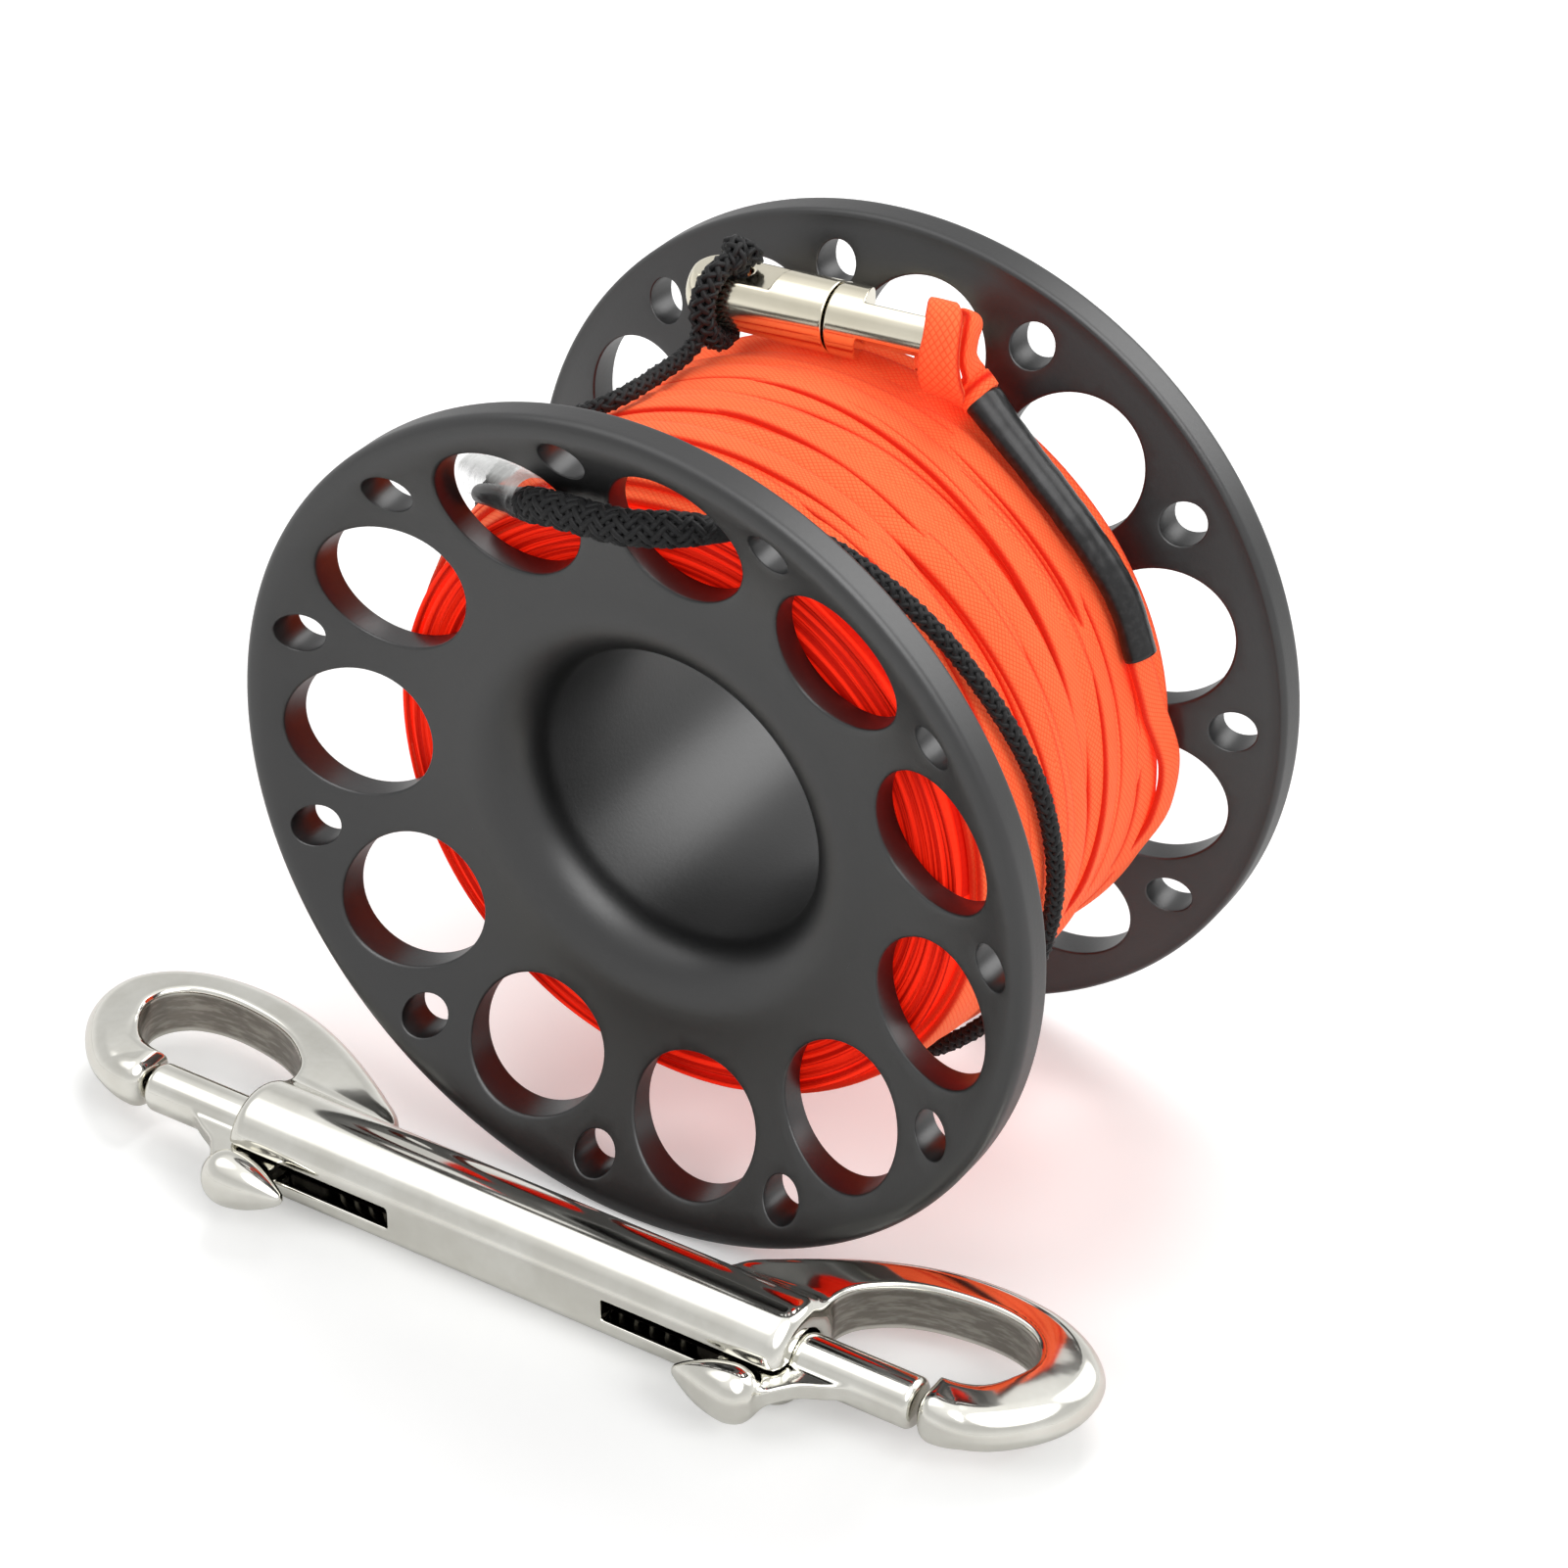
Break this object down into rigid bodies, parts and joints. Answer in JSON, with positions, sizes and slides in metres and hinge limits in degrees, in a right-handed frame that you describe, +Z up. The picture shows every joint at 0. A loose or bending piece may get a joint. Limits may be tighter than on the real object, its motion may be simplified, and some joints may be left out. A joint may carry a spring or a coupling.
{
  "type": "finger spool with bolt snap",
  "caption": "Turned black finger spool wound with flat orange safety line, with a small steel swivel, a black lanyard and a double-ended steel bolt snap lying beside it.",
  "frame": {"origin": "centre of the whole pair's box at floor level", "axes": "+Y along the spool's axis from the front flange to the back flange, +X along the bolt snap to the right, +Z up"},
  "size_m": [0.1192, 0.0782, 0.0899],
  "materials": {
    "black_anodised": "satin black anodised",
    "orange_line": "woven flat braid",
    "shrink_sleeve": "glossy black shrink tube",
    "polished_steel": "tumble polished stainless steel",
    "spring_steel": "plain drawn spring wire",
    "black_cord": "braided cord"
  },
  "bodies": {
    "spool": {"spool": "black_anodised", "line_core": "orange_line", "line_winding": "orange_line", "line_sleeve": "shrink_sleeve", "line_end_loop": "orange_line", "swivel_cord_half": "polished_steel", "lanyard_knot": "black_cord", "lanyard_cord": "black_cord", "lanyard_splice": "black_cord", "lanyard_end_sleeve": "shrink_sleeve"},
    "swivel_line_side": {"swivel_line_half": "polished_steel", "swivel_pin": "polished_steel"},
    "snap": {"snap_body": "polished_steel", "spring_left": "spring_steel", "spring_right": "spring_steel"},
    "gate_left": {"gate_left": "polished_steel"},
    "gate_right": {"gate_right": "polished_steel"}
  },
  "joints": [
    {"name": "swivel_turn", "type": "hinge", "parent": "spool", "child": "swivel_line_side", "pos_m": [0.0019, 0.02655, 0.08294], "axis": [0.9987, 0.0349, 0.0384], "range_deg": [-10, 10]},
    {"name": "snap_lift", "type": "slide", "parent": "spool", "child": "snap", "axis": [0, -0.6, 0.8], "range_m": [0, 0.05]},
    {"name": "gate_left_slide", "type": "slide", "parent": "snap", "child": "gate_left", "axis": [1, 0, 0], "range_m": [0, 0.012], "stiffness_N_per_m": 150, "springref_m": -0.008, "deforming": ["spring_left"]},
    {"name": "gate_right_slide", "type": "slide", "parent": "snap", "child": "gate_right", "axis": [-1, 0, 0], "range_m": [0, 0.012], "stiffness_N_per_m": 150, "springref_m": -0.008, "deforming": ["spring_right"]}
  ]
}
